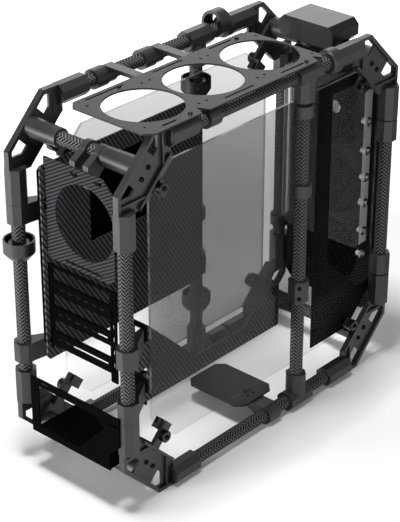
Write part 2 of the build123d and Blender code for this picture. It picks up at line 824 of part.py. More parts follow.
# Expansion slot frame with a slotted strip down its near edge
slot_frame_top_z = rear_plate_bottom_z - slot_frame_gap
slot_area_top = slot_frame_top_z - slot_bar
slot_area_bottom = slot_area_top - slot_count * slot_pitch
slot_inner_near_y = slot_frame_near_y + slot_strip_width
with BuildPart() as slot_frame:
    with BuildSketch(rear_plane):
        with Locations(
            (
                (slot_frame_near_y + tray_y) / 2,
                (slot_frame_top_z + slot_area_bottom - slot_bar) / 2,
            )
        ):
            Rectangle(
                tray_y - slot_frame_near_y,
                slot_frame_top_z - slot_area_bottom + slot_bar,
            )
        with Locations((slot_frame_near_y + slot_strip_width / 2, slot_area_bottom - 8)):
            Rectangle(slot_strip_width, 2 * (slot_area_bottom - 8 - slot_strip_bottom_z))
        opening_width = tray_y - 8 - slot_inner_near_y
        for i in range(slot_count):
            z = slot_area_top - (i + 0.5) * slot_pitch
            with Locations((slot_inner_near_y + opening_width / 2, z)):
                Rectangle(opening_width, slot_pitch - 2.0, mode=Mode.SUBTRACT)
            with Locations((slot_frame_near_y + slot_strip_width / 2, z)):
                SlotCenterToCenter(6, slot_cover_slit, rotation=90, mode=Mode.SUBTRACT)
    extrude(amount=rear_plate_thickness)
slot_frame.part.label = "expansion_slot_frame"
export_step(slot_frame.part, "parts/expansion_slot_frame.step")

# Slot covers in every second slot, each with a long vent slit
with BuildPart() as slot_cover:
    with BuildSketch(Plane(origin=(rear_plate_x - 1.2, 0, 0), x_dir=(0, 1, 0), z_dir=(1, 0, 0))):
        with Locations((slot_inner_near_y + opening_width / 2 - 2, 0)):
            Rectangle(opening_width + 4, slot_pitch - 1.4)
            Rectangle(opening_width - 12, slot_cover_slit, mode=Mode.SUBTRACT)
    extrude(amount=1.2)
slot_covers = Compound(
    children=[
        Pos(0, 0, slot_area_top - (i + 0.5) * slot_pitch) * slot_cover.part
        for i in range(1, slot_count, 2)
    ]
)
slot_covers.label = "slot_covers"
export_step(slot_covers, "parts/slot_covers.step")

# Power supply frame: a sheet with an ear to the near rear upright and a shelf bent inward
psu_x = -socket_outer_x - psu_plate_thickness
psu_top_z = psu_bottom_z + psu_height
psu_opening_top_z = psu_top_z - psu_rim
psu_opening_bottom_z = psu_bottom_z + psu_rim
psu_opening_near_y = psu_near_y + psu_near_rim
psu_near_slot_y = psu_ear_y + 2 + psu_near_slot_length / 2
with BuildPart() as psu_frame:
    with BuildSketch(Plane(origin=(psu_x, 0, 0), x_dir=(0, 1, 0), z_dir=(1, 0, 0))):
        Polygon(
            (psu_far_y, psu_bottom_z),
            (psu_far_y, psu_top_z),
            (psu_ear_y, psu_top_z),
            (psu_ear_y, psu_top_z - psu_ear_height),
            (psu_near_y, psu_top_z - psu_ear_height - psu_ear_slope),
            (psu_near_y, psu_bottom_z),
            align=None,
        )
        Polygon(
            (psu_far_y - psu_far_rim, psu_opening_bottom_z),
            (psu_far_y - psu_far_rim, psu_opening_top_z),
            (psu_opening_near_y + psu_far_rim, psu_opening_top_z),
            (psu_opening_near_y, psu_opening_top_z - psu_far_rim),
            (psu_opening_near_y + psu_gusset, psu_opening_bottom_z),
            align=None,
            mode=Mode.SUBTRACT,
        )
        with Locations((psu_far_y - psu_far_rim - psu_rim, psu_top_z - psu_rim / 2)):
            SlotOverall(psu_far_slot_length, psu_slot_width, mode=Mode.SUBTRACT)
        with Locations((psu_near_slot_y, psu_opening_top_z - psu_slot_width)):
            SlotOverall(psu_near_slot_length, psu_slot_width, mode=Mode.SUBTRACT)
    extrude(amount=psu_plate_thickness)
    with BuildSketch(Plane.XY.offset(psu_bottom_z)):
        Polygon(
            (psu_x, psu_far_y - 2),
            (psu_x, psu_near_y + 2),
            (psu_x + psu_shelf_depth, psu_near_y + 2),
            (psu_x + psu_shelf_depth, psu_far_y - 2),
            align=None,
        )
    extrude(amount=psu_plate_thickness)
psu_frame.part.label = "psu_frame"
export_step(psu_frame.part, "parts/psu_frame.step")

# Side panes of smoked glass; the near one reaches further to the front
for side_name, direction, rear_end, front_end in (
    ("far", 1, pane_short_end, pane_short_end),
    ("near", -1, pane_short_end, pane_long_end),
):
    with BuildPart() as pane:
        start_y = pane_outer_y if direction > 0 else -pane_outer_y + pane_thickness
        with BuildSketch(corner_plane(start_y)) as pane_outline:
            with Locations(((front_end - rear_end) / 2, (pane_bottom_z + pane_top_z) / 2)):
                Rectangle(front_end + rear_end, pane_top_z - pane_bottom_z)
            chamfer(pane_outline.vertices(), length=pane_chamfer)
        extrude(amount=pane_thickness)
    pane.part.label = f"glass_pane_{side_name}"
    export_step(pane.part, f"parts/{pane.part.label}.step")

# Lower carbon side panel: a band that rises at both ends, with two tabs to the rear arms
panel_outer_y = -arm_reach_y
panel_inner_y = panel_outer_y + side_panel_thickness
side_panel_rear_x = -half_length + side_panel_rear_inset
side_panel_front_x = mid_tube_x - side_panel_front_gap
band_top_z = side_panel_bottom_z + side_panel_band
side_panel_rear_top_z = side_panel_bottom_z + side_panel_rear_height
side_panel_front_top_z = side_panel_bottom_z + side_panel_front_height
low_tab_top_z = side_panel_bottom_z + panel_low_tab_height
high_tab_bottom_z = side_panel_bottom_z + panel_high_tab_rise
high_tab_top_z = high_tab_bottom_z + panel_high_tab_height
tab_end_x = side_panel_rear_x - panel_tab_length
front_shoulder_x = side_panel_front_x - side_panel_front_width
with BuildPart() as side_panel:
    with BuildSketch(corner_plane(panel_inner_y)):
        Polygon(
            (tab_end_x, side_panel_bottom_z),
            (side_panel_front_x, side_panel_bottom_z),
            (side_panel_front_x, side_panel_front_top_z),
            (front_shoulder_x, side_panel_front_top_z),
            (front_shoulder_x - side_panel_front_top_z + band_top_z, band_top_z),
            (side_panel_rear_x + side_panel_slope_length, band_top_z),
            (side_panel_rear_x, side_panel_rear_top_z),
            (side_panel_rear_x, high_tab_top_z),
            (tab_end_x, high_tab_top_z),
            (tab_end_x, high_tab_bottom_z),
            (side_panel_rear_x, high_tab_bottom_z),
            (side_panel_rear_x, low_tab_top_z),
            (tab_end_x, low_tab_top_z),
            align=None,
        )
    extrude(amount=side_panel_thickness)
side_panel.part.label = "lower_side_panel"
export_step(side_panel.part, "parts/lower_side_panel.step")

# Two black gusset plates that stiffen the rear edge of the side panel
gusset_end_y = panel_outer_y + gusset_depth
low_gusset_bottom_z = side_panel_bottom_z - low_gusset_drop
low_gusset_top_z = low_gusset_bottom_z + low_gusset_height
window_y = panel_outer_y + gusset_window
window_top_z = side_panel_rear_top_z - 9
with BuildPart() as high_gusset:
    with BuildSketch(Plane.YZ.offset(side_panel_rear_x - gusset_thickness)):
        Polygon(
            (gusset_end_y, side_panel_rear_top_z - high_gusset_height),
            (panel_inner_y, side_panel_rear_top_z - high_gusset_height),
            (panel_inner_y, high_tab_top_z),
            (panel_outer_y, high_tab_top_z),
            (panel_outer_y, side_panel_rear_top_z),
            (gusset_end_y, side_panel_rear_top_z),
            align=None,
        )
        Polygon(
            (window_y, window_top_z),
            (window_y + gusset_window, window_top_z),
            (window_y + gusset_window, window_top_z - gusset_window),
            align=None,
            mode=Mode.SUBTRACT,
        )
    extrude(amount=gusset_thickness)
with BuildPart() as low_gusset:
    with BuildSketch(Plane.YZ.offset(side_panel_rear_x - gusset_thickness)):
        Polygon(
            (gusset_end_y, low_gusset_bottom_z),
            (panel_inner_y, low_gusset_bottom_z),
            (panel_inner_y, low_tab_top_z),
            (panel_outer_y, low_tab_top_z),
            (panel_outer_y, low_gusset_top_z - gusset_window - 4),
            (window_y, low_gusset_top_z - gusset_window + 2),
            (panel_outer_y, low_gusset_top_z),
            (gusset_end_y, low_gusset_top_z),
            align=None,
        )
    extrude(amount=gusset_thickness)
gussets = Compound(children=[high_gusset.part, low_gusset.part])
gussets.label = "side_panel_gussets"
export_step(gussets, "parts/side_panel_gussets.step")

# Pump plate on a bracket from the near bottom tube
pump_plate_x = mid_tube_x - pump_plate_gap
with BuildPart() as pump_plate:
    with BuildSketch(Plane.XY.offset(pump_plate_z)) as pump_outline:
        with Locations((pump_plate_x, pump_plate_near_y + pump_plate_width / 2)):
            Rectangle(pump_plate_length, pump_plate_width)
        chamfer(pump_outline.vertices(), length=pump_plate_corner)
        with Locations((pump_plate_x, pump_plate_near_y + 14)):
            with GridLocations(13, 0, 2, 1):
                Circle(screw_hole_diameter / 2, mode=Mode.SUBTRACT)
    extrude(amount=pump_plate_thickness)
pump_plate.part.label = "pump_plate"
export_step(pump_plate.part, "parts/pump_plate.step")

with BuildPart() as pump_bracket:
    with BuildSketch(Plane.YZ.offset(pump_plate_x - 13)):
        with Locations((-tube_y, low_tube_z)):
            Circle(collar_radius - 0.2)
        Polygon(
            (-tube_y, low_tube_z + collar_radius - 0.3),
            (pump_plate_near_y + 6, pump_plate_z),
            (pump_plate_near_y + 26, pump_plate_z),
            (pump_plate_near_y + 26, pump_plate_z - 6),
            (-tube_y + 12, low_tube_z - 4),
            align=None,
        )
        with Locations((-tube_y, low_tube_z)):
            Circle(bore_radius, mode=Mode.SUBTRACT)
    extrude(amount=26)
pump_bracket.part.label = "pump_plate_bracket"
export_step(pump_bracket.part, "parts/pump_plate_bracket.step")

# Front fan plate with three fan openings, held between the front uprights
front_plate_half_width = socket_inner_y - tube_clearance
front_plane = Plane(origin=(front_plate_x, 0, 0), x_dir=(0, 1, 0), z_dir=(1, 0, 0))
with BuildPart() as front_plate:
    with BuildSketch(front_plane) as front_outline:
        with Locations((0, frame_height / 2)):
            Rectangle(2 * front_plate_half_width, frame_height - 2 * front_plate_margin_z)
        chamfer(front_outline.vertices(), length=front_plate_corner)
        for i in range(3):
            with Locations((0, front_fan_bottom_z + i * fan_pitch)):
                Circle(fan_hole_diameter / 2, mode=Mode.SUBTRACT)
                with GridLocations(fan_screw_pitch, fan_screw_pitch, 2, 2):
                    Circle(screw_hole_diameter / 2, mode=Mode.SUBTRACT)
    extrude(amount=front_plate_thickness)
front_plate.part.label = "front_fan_plate"
export_step(front_plate.part, "parts/front_fan_plate.step")

# Black sheet that closes the openings of the front fan plate from outside
cover_half_width = front_plate_half_width - front_cover_margin
cover_height = frame_height - 2 * front_plate_margin_z - 2 * front_plate_corner
with BuildPart() as front_cover:
    with BuildSketch(front_plane.offset(front_plate_thickness)) as front_cover_outline:
        with Locations((0, frame_height / 2)):
            Rectangle(2 * cover_half_width, cover_height)
        chamfer(front_cover_outline.vertices(), length=front_cover_margin)
    extrude(amount=front_cover_thickness)
front_cover.part.label = "front_cover_sheet"
export_step(front_cover.part, "parts/front_cover_sheet.step")

# Clear distribution plate behind the front fans, on four spacers
distribution_top_z = frame_height - distribution_top_inset
distribution_x = front_plate_x - distribution_gap - distribution_thickness
distribution_plane = Plane(origin=(distribution_x, 0, 0), x_dir=(0, 1, 0), z_dir=(1, 0, 0))
distribution_mid_z = (distribution_bottom_z + distribution_top_z) / 2
distribution_height = distribution_top_z - distribution_bottom_z
with BuildPart() as distribution:
    with BuildSketch(distribution_plane) as distribution_outline:
        with Locations((0, distribution_mid_z)):
            Rectangle(2 * distribution_half_width, distribution_height)
        chamfer(distribution_outline.vertices(), length=distribution_corner)
    extrude(amount=distribution_thickness)
distribution.part.label = "distribution_plate"
export_step(distribution.part, "parts/distribution_plate.step")

spacer_spread_y = 2 * (distribution_half_width - 9)
spacer_spread_z = distribution_height - 34
with BuildPart() as distribution_spacers:
    with BuildSketch(front_plane.offset(-distribution_gap)):
        with Locations((0, distribution_mid_z)):
            with GridLocations(spacer_spread_y, spacer_spread_z, 2, 2):
                Circle(post_diameter / 2)
    extrude(amount=distribution_gap)
distribution_spacers.part.label = "distribution_spacers"
export_step(distribution_spacers.part, "parts/distribution_spacers.step")

# Front side panel: a post, a top band and a gusset with a foot on the front plate
panel_chamfer_x = pane_long_end - pane_chamfer
side_cover_rear_x = half_length - side_cover_rear_inset
post_front_x = side_cover_rear_x + side_cover_post
band_bottom_z = pane_top_z - side_cover_band
foot_bottom_z = pane_bottom_z + front_plate_x - panel_chamfer_x
foot_top_z = foot_bottom_z + side_cover_foot
with BuildPart() as side_cover:
    with BuildSketch(corner_plane(panel_outer_y + side_cover_thickness)):
        Polygon(
            (side_cover_rear_x, pane_bottom_z),
            (panel_chamfer_x, pane_bottom_z),
            (front_plate_x, foot_bottom_z),
            (front_plate_x, foot_top_z),
            (post_front_x + side_cover_gusset_z - foot_top_z, foot_top_z),
            (post_front_x, side_cover_gusset_z),
            (post_front_x, band_bottom_z),
            (panel_chamfer_x + side_cover_band, band_bottom_z),
            (panel_chamfer_x, pane_top_z),
            (side_cover_rear_x, pane_top_z),
            align=None,
        )
    extrude(amount=side_cover_thickness)
side_cover.part.label = "front_side_panel"
export_step(side_cover.part, "parts/front_side_panel.step")

# Holder that reaches from a corner web to the chamfer of a pane and grips it
root_two = 1.41421356


def holder_plane(y):
    # The x direction runs inward along the diagonal of the far front top corner
    return Plane(origin=(half_length, y, frame_height), x_dir=(-1, 0, -1), z_dir=(0, -1, 0))


def pane_edge(pane_end):
    # Distance along that diagonal from the corner point to the pane chamfer
    return (half_length - pane_end + frame_height - pane_top_z + pane_chamfer) / root_two


def make_holder(edge):
    jaw_start = edge - jaw_before_edge
    jaw_end = edge + jaw_over_pane
    plate_end = max(jaw_end, web_inner_sum / root_two + knob_from_web + knob_radius)
    jaw_tip_y = arm_reach_y + pane_clearance
    with BuildPart() as holder:
        with BuildSketch(holder_plane(web_inner_y)):
            with Locations(((holder_foot_start + holder_foot_end) / 2, 0)):
                Rectangle(holder_foot_end - holder_foot_start, holder_foot_width)
            with Locations(((holder_foot_start + plate_end) / 2, 0)):
                Rectangle(plate_end - holder_foot_start, holder_width)
            with Locations((boss_position * root_two, 0)):
                Circle(boss_base_radius + pane_clearance, mode=Mode.SUBTRACT)
        extrude(amount=holder_thickness)
        with BuildSketch(holder_plane(web_inner_y - holder_thickness)):
            with Locations(((jaw_start + jaw_end) / 2, 0)):
                Rectangle(jaw_end - jaw_start, jaw_width)
        extrude(amount=web_inner_y - holder_thickness - jaw_tip_y)
        with BuildSketch(holder_plane(pane_outer_y + pane_clearance)):
            with Locations((edge + jaw_over_pane / 2 + 1 - pane_clearance, 0)):
                Rectangle(jaw_over_pane + 2, jaw_width + 2)
        extrude(amount=pane_thickness + 2 * pane_clearance, mode=Mode.SUBTRACT)
    return holder.part


def make_knob(edge):
    center = max(edge - knob_from_edge, web_inner_sum / root_two + knob_from_web)
    with BuildPart() as knob:
        with BuildSketch(holder_plane(web_inner_y)):
            with Locations((center, 0)):
                Circle(knob_radius)
        extrude(amount=-knob_height)
        chamfer(knob.edges().sort_by(Axis.Y)[-1], length=1)
    return knob.part


far_holders = []
near_holders = []
knobs = []
for rear, low in ((False, False), (True, False), (False, True), (True, True)):
    for near in (False, True):
        long_end = near and not rear
        edge = pane_edge(pane_long_end if long_end else pane_short_end)
        pieces = [make_holder(edge), make_knob(edge)]
        if near:
            pieces = [mirror(piece, about=Plane.XZ) for piece in pieces]
        if rear:
            pieces = [mirror(piece, about=Plane.YZ) for piece in pieces]
        if low:
            pieces = [mirror(piece, about=mid_height_plane) for piece in pieces]
        (near_holders if near else far_holders).append(pieces[0])
        knobs.append(pieces[1])
for label, pieces in (
    ("pane_holders_far", far_holders),
    ("pane_holders_near", near_holders),
    ("holder_knobs", knobs),
):
    group = Compound(children=pieces)
    group.label = label
    export_step(group, f"parts/{label}.step")

# Control box on the front top cross tube
box_bottom_z = cross_high_z + box_above_tube
box_rear_x = cross_x - box_behind_tube - box_length_x / 2
with BuildPart() as control_box:
    with BuildSketch(Plane.YZ.offset(box_rear_x)) as box_profile:
        with Locations((box_center_y, box_bottom_z + box_height / 2)):
            Rectangle(box_width_y, box_height)
        chamfer(box_profile.vertices(), length=box_chamfer)
    extrude(amount=box_length_x)
control_box.part.label = "control_box"
export_step(control_box.part, "parts/control_box.step")

# Two saddle clamps between the cross tube and the control box
saddle_top = box_bottom_z - cross_high_z
with BuildPart() as saddle:
    with BuildSketch(corner_plane(saddle_width / 2)):
        with Locations((cross_x, cross_high_z)):
            Circle(boss_tip_radius)
        with Locations((cross_x, cross_high_z + saddle_top / 2)):
            Rectangle(saddle_neck, saddle_top)
        with Locations((cross_x, cross_high_z + saddle_top - 2)):
            Rectangle(saddle_foot, 4)
        with Locations((cross_x, cross_high_z)):
            Circle(bore_radius, mode=Mode.SUBTRACT)
    extrude(amount=saddle_width)
saddles = Compound(
    children=[Pos(0, side * saddle_spacing / 2, 0) * saddle.part for side in (-1, 1)]
)
saddles.label = "box_saddles"
export_step(saddles, "parts/box_saddles.step")
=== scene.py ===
import math

import bpy
import numpy as np
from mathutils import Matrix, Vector


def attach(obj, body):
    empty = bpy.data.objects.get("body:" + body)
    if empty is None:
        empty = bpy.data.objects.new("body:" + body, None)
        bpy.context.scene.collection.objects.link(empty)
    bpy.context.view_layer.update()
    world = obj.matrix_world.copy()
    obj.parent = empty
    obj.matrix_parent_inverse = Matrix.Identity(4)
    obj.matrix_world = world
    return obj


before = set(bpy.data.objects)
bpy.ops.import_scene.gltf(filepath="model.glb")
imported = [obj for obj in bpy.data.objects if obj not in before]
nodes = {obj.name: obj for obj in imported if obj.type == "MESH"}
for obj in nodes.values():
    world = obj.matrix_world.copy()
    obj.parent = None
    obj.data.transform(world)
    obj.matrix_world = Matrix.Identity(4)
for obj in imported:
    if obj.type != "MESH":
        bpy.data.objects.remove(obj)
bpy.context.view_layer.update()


# Carbon fibre tubes

# Ten loop tubes and four cross tubes, 20 mm outside, wrapped in braided carbon fibre and clear
# coated. Bundles of fibre cross at about 45 degrees over two and under two. The tube's rows of
# small pale strokes on near black are painted: highlights on the bundles' crowns, a faint painted
# reflection on the bundles that lie on top, and painted shade in the gaps between them.

def linear(hex_colour):
    """An sRGB hex colour as linear RGBA: each channel c becomes ((c + 0.055) / 1.055) ** 2.4."""
    c = np.array([int(hex_colour[i:i + 2], 16) / 255 for i in (1, 3, 5)])
    c = np.where(c <= 0.04045, c / 12.92, ((c + 0.055) / 1.055) ** 2.4)
    return (*c.tolist(), 1.0)


def fill(tree, node, inputs):
    """Fills a node's inputs from a dictionary by socket: each is a value, or an output to link."""
    for key, value in inputs.items():
        if isinstance(value, bpy.types.NodeSocket):
            tree.links.new(value, node.inputs[key])
        else:
            node.inputs[key].default_value = value


def add(tree, kind, inputs, output=0, **settings):
    """Adds one shader node and returns one of its outputs.

    The inputs are a list in socket order or a dictionary by socket. The settings are the node's
    own properties, and are set first.
    """
    made = tree.nodes.new("ShaderNode" + kind)
    for key, value in settings.items():
        setattr(made, key, value)
    fill(tree, made, inputs if isinstance(inputs, dict) else dict(enumerate(inputs)))
    return made.outputs[output]


def finish_material(name):
    """A new material with its tree, its Principled shader, and its Object coordinates, whole and
    as x, y and z."""
    material = bpy.data.materials.new(name)
    material.use_nodes = True
    tree = material.node_tree
    place = add(tree, "TexCoord", [], "Object")
    xyz = add(tree, "SeparateXYZ", [place]).node.outputs
    return material, tree, tree.nodes["Principled BSDF"], place, xyz


def weave(tree, shader, a, b, reflection_share, dark, light, height):
    """Two sets of fibre bundles that cross over two and under two: a and b count bundles each way.

    The a bundle lies on top where the whole parts of a and b add up to 0 or 1 in every 4. The top
    bundle's rounded back is the sine of pi times the fraction across it, and is the height of the
    bump. The colour is painted light. It goes from dark to light by the given share where a lies on
    top, a painted reflection that makes that set of bundles look paler. It goes the rest of the way
    with the upper part of that back, a painted highlight on each bundle's crown that leaves painted
    shade in the gaps. Returns that painted sheen.
    """
    backs = []
    wholes = []
    for count in (a, b):
        part = add(tree, "Math", [count], operation="FRACT")
        turn = add(tree, "Math", [part, math.pi], operation="MULTIPLY")
        backs.append(add(tree, "Math", [turn], operation="SINE"))
        wholes.append(add(tree, "Math", [count], operation="FLOOR"))
    rows = add(tree, "Math", wholes, operation="ADD")
    row = add(tree, "Math", [rows, 4.0], operation="FLOORED_MODULO")
    over = add(tree, "Math", [row, 1.5], operation="LESS_THAN")
    top = add(tree, "Mix", {0: over, 2: backs[1], 3: backs[0]})
    # painted light: the upper part of each bundle's back is a painted highlight, the dark gaps
    # between are painted shade, and the share where a lies on top is a painted reflection
    crown_highlight = add(tree, "MapRange", [top, 0.6, 0.98, 0.0, 1 - reflection_share])
    painted_sheen = add(tree, "Math", [over, reflection_share, crown_highlight], operation="MULTIPLY_ADD")
    colour = add(tree, "Mix", {0: painted_sheen, 6: linear(dark), 7: linear(light)}, 2, data_type="RGBA")
    bump = add(tree, "Bump", {"Strength": 0.5, "Distance": height, "Height": top})
    fill(tree, shader, {"Base Color": colour, "Normal": bump})
    return painted_sheen


def braided_tube(name, axis, folds):
    """Braid round the tubes along one axis: a and b are turns times bundles, plus and minus
    length over pitch.

    A fold is (axis, middle, reach). The distance from the middle less the reach is measured from
    the tube's own axis, so the tubes on both sides of the middle share one material.
    """
    material, tree, shader, _, xyz = finish_material(name)
    across = []
    for fold_axis, middle, reach in folds:
        offset = add(tree, "Math", [xyz[fold_axis], middle], operation="SUBTRACT")
        apart = add(tree, "Math", [offset], operation="ABSOLUTE")
        across.append(add(tree, "Math", [apart, reach], operation="SUBTRACT"))
    angle = add(tree, "Math", across, operation="ARCTAN2")
    turns = add(tree, "Math", [angle, braid_bundles / (2 * math.pi)], operation="MULTIPLY")
    steps = add(tree, "Math", [xyz[axis], braid_pitch], operation="DIVIDE")
    a = add(tree, "Math", [turns, steps], operation="ADD")
    b = add(tree, "Math", [turns, steps], operation="SUBTRACT")
    # the braid's light and dark are painted: highlights on the bundles' crowns and shade in the
    # gaps
    painted_sheen = weave(tree, shader, a, b, reflection_share=0.1, dark="#010101", light="#6a6b6e", height=0.0005)
    rough = add(tree, "Math", [painted_sheen, -0.35, 0.8], operation="MULTIPLY_ADD")
    fill(tree, shader, {"Roughness": rough, "Specular IOR Level": 0.12,
                        "Coat Weight": 0.03, "Coat Roughness": 0.2})
    return material


def paint(material, names):
    """Puts a material in the slots of the named CAD nodes."""
    for name in names:
        for slot in nodes[name].material_slots:
            slot.material = material


# the real bundles lie about 4.9 mm apart; drawn a little coarser so that they show
braid_bundles = 10
braid_pitch = 0.0060

# the tubes' axes: how far they lie from the frame's middle, which is at half its height
half_height = 0.284
loop_y, loop_x, loop_z = 0.1032, 0.2868, 0.2688
cross_x, cross_z = 0.256, 0.238
middle_upright_x = 0.082

for name, axis, folds, starts, ends in (
        ("braided_carbon_long", 0, ((1, 0.0, loop_y), (2, half_height, loop_z)),
         "tube_", ("_top", "_bottom")),
        ("braided_carbon_upright", 2, ((0, 0.0, loop_x), (1, 0.0, loop_y)),
         "tube_", ("_rear", "_front")),
        ("braided_carbon_middle", 2, ((0, middle_upright_x, 0.0), (1, 0.0, loop_y)),
         "tube_", "_middle"),
        ("braided_carbon_cross", 1, ((0, 0.0, cross_x), (2, half_height, cross_z)),
         "cross_tube", ("_top", "_bottom"))):
    paint(braided_tube(name, axis, folds),
          [n for n in nodes if n.startswith(starts) and n.endswith(ends)])


# Corner brackets, tees, clamps and holders

# Glass filled nylon mouldings in near black, pushed or clamped on the tubes. The mould was spark
# eroded, which leaves a fine even grain and a satin sheen along the edges and facets.

def fine_grain(name, dark, light, roughness, shine=0.5, metal=False):
    """A nearly even finish: the colour and the roughness drift from dark and smooth to light and
    rough with a cloud about 45 mm across, and a fine noise is the height of the grain."""
    material, tree, shader, place, _ = finish_material(name)
    cloud = add(tree, "TexNoise", {"Vector": place, "Scale": 22.0, "Detail": 3.0})
    colour = add(tree, "ValToRGB", [cloud])
    for end, position, tone in zip(colour.node.color_ramp.elements, (0.3, 0.75), (dark, light)):
        end.position = position
        end.color = linear(tone)
    # the real grain is about 0.1 mm; drawn at 0.6 mm so that it shows
    grain = add(tree, "TexNoise", {"Vector": place, "Scale": 1600.0, "Detail": 2.0})
    bump = add(tree, "Bump", {"Strength": 0.25, "Distance": 0.0002, "Height": grain})
    rough = add(tree, "Math", [cloud, 0.14, roughness - 0.07], operation="MULTIPLY_ADD")
    fill(tree, shader, {"Base Color": colour, "Normal": bump, "Roughness": rough})
    if metal:
        fill(tree, shader, {"Metallic": 1.0})
    else:
        fill(tree, shader, {"IOR": 1.52, "Specular IOR Level": shine})
    return material


nylon_pieces = ("corner_bracket", "tee_", "arm_clamps", "pane_holders", "tube_blocks",
                "plain_collars", "cup_rings", "fan_plate_clamps", "rear_plate_hangers",
                "pump_plate_bracket", "box_saddles", "tray_spacers", "distribution_spacers",
                "hook_ring")
paint(fine_grain("grained_black_nylon", "#1a1b1d", "#252628", 0.42, 0.55),
      [n for n in nodes if n.startswith(nylon_pieces)])


# Control box and knobs

# The control box is a satin black anodised aluminium housing, cut as one prism with bevelled long
# edges. The turned knobs of the pane holders have the same finish: near black, with a soft
# reflection of the room on their faces.

paint(fine_grain("satin_black_anodised", "#0c0d0e", "#101112", 0.26, 0.34),
      ["control_box", "holder_knobs"])


# Carbon fibre plates

# Flat plates cut from 2 by 2 twill carbon fibre sheet, about 2.5 mm, with a satin clear coat. The
# twill gives fine diagonal lines. The paler set of fibre bundles is a painted reflection, and the
# lighter crowns of the bundles are painted highlights with painted shade between them.

def twill_sheet(name, axes, widths, dark, light, roughness, shine):
    """Twill on a plane: each of the two bundle counts is a coordinate over a bundle's width."""
    material, tree, shader, _, xyz = finish_material(name)
    a, b = (add(tree, "Math", [xyz[axis], width], operation="DIVIDE")
            for axis, width in zip(axes, widths))
    # the paler bundle set is a painted reflection, the lighter crowns painted highlights
    weave(tree, shader, a, b, reflection_share=0.8, dark=dark, light=light, height=0.0002)
    fill(tree, shader, {"Roughness": roughness, "Specular IOR Level": shine})
    return material


# a real bundle is about 2 mm wide; the two widths stay near that, and give the diagonal lines
# about the slope that they have in the photo
for name, axes, widths, dark, light, roughness, shine, sheets in (
        ("twill_carbon_across", (1, 2), (0.00236, 0.00135), "#040404", "#444548", 0.6, 0.06,
         ["rear_fan_plate"]),
        ("twill_carbon_front", (1, 2), (0.00236, 0.00135), "#020202", "#242527", 0.6, 0.04,
         ["front_fan_plate", "front_side_panel"]),
        ("twill_carbon_along", (0, 2), (0.0018, 0.00276), "#030303", "#5c5d60", 0.6, 0.1,
         ["motherboard_tray", "lower_side_panel"]),
        ("twill_carbon_level", (0, 1), (0.0016, 0.0016), "#232426", "#2c2d30", 0.42, 0.2,
         ["fan_plate_top", "pump_plate"])):
    paint(twill_sheet(name, axes, widths, dark, light, roughness, shine), sheets)


# Sheet metal frames

# The expansion slot frame, its covers, the power supply frame, the tray's back cover, the gussets
# and the front cover are folded and punched steel with a fine powder coat, which looks matt and
# almost pure black.

paint(fine_grain("black_powder_coat", "#020202", "#050505", 0.8, 0.02),
      ["expansion_slot_frame", "slot_covers", "psu_frame", "tray_cover", "side_panel_gussets",
       "front_cover_sheet"])


# Side panes and distribution plate

# The panes are 4 mm smoked glass with polished edges, drawn as a painted highlight along their
# outline. The distribution plate behind the front fans is a block of clear cast acrylic with sawn
# and polished edges, drawn as a brighter painted highlight.

def pane_sides(rear, front, bottom, top, cut):
    """The eight sides of a pane with its corners cut off, as (direction inward, distance): the
    four straight ones, then one at 45 degrees that takes cut off the two sides at each corner."""
    sides = [((1, 0, 0), -rear), ((-1, 0, 0), front), ((0, 0, 1), -bottom), ((0, 0, -1), top)]
    slope = math.sqrt(0.5)
    for x_sign, x_start in ((1, -rear), (-1, front)):
        for z_sign, z_start in ((1, -bottom), (-1, top)):
            sides.append(((slope * x_sign, 0, slope * z_sign), slope * (x_start + z_start - cut)))
    return sides


def clear_sheet(name, colour, rim_highlight_colour, alpha, clear_rear, front_share, sides):
    """A slab that lets 1 - alpha of the light through each face, with a faint cloud of dust.

    Its smoke fades to a fifth where it is below the panel's foot and behind x = clear_rear, because
    the photo shows clear floor there, and to front_share in the front bay. The distance to the
    outline is the least, over all sides, of the dot product of place and direction plus distance,
    and the outer 0.5 mm is a painted highlight of the polished edge: lighter in colour and more
    solid.
    """
    material, tree, shader, place, xyz = finish_material(name)
    dust = add(tree, "TexNoise", {"Vector": place, "Scale": 6.0, "Detail": 4.0})
    smoke = add(tree, "Math", [dust, 0.06, alpha - 0.03], operation="MULTIPLY_ADD")
    upper = add(tree, "MapRange", [xyz[2], *panel_foot, 0.2, 1.0])
    ahead = add(tree, "MapRange", [xyz[0], clear_rear - 0.1, clear_rear, 0.2, 1.0])
    kept = add(tree, "Math", [upper, ahead], operation="MAXIMUM")
    front = add(tree, "MapRange", [xyz[0], *front_bay, 1.0, front_share])
    through = add(tree, "Math", [smoke, kept], operation="MULTIPLY")
    through = add(tree, "Math", [through, front], operation="MULTIPLY")
    inward = 1.0
    for direction, distance in sides:
        along = add(tree, "VectorMath", [place, direction], "Value", operation="DOT_PRODUCT")
        depth = add(tree, "Math", [along, distance], operation="ADD")
        inward = add(tree, "Math", [inward, depth], operation="MINIMUM")
    # painted highlight: the outer 0.5 mm of the face takes the lighter edge colour and more
    # opacity, for the light that the polished edge catches
    highlight_rim = add(tree, "Math", [inward, 0.0005], operation="LESS_THAN")
    highlight_rim_alpha = add(tree, "Math", [kept, 0.6], operation="MULTIPLY")
    solid = add(tree, "Mix", {0: highlight_rim, 2: through, 3: highlight_rim_alpha})
    tint = add(tree, "Mix", {0: highlight_rim, 6: linear(colour), 7: linear(rim_highlight_colour)}, 2,
               data_type="RGBA")
    fill(tree, shader, {"Alpha": solid, "Base Color": tint, "Roughness": 0.03,
                        "Specular IOR Level": 0.35})
    return material


# the height, and the length along the frame, over which the smoke changes
panel_foot = (0.14, 0.17)
front_bay = (0.1, 0.2)
all_along = 1.0

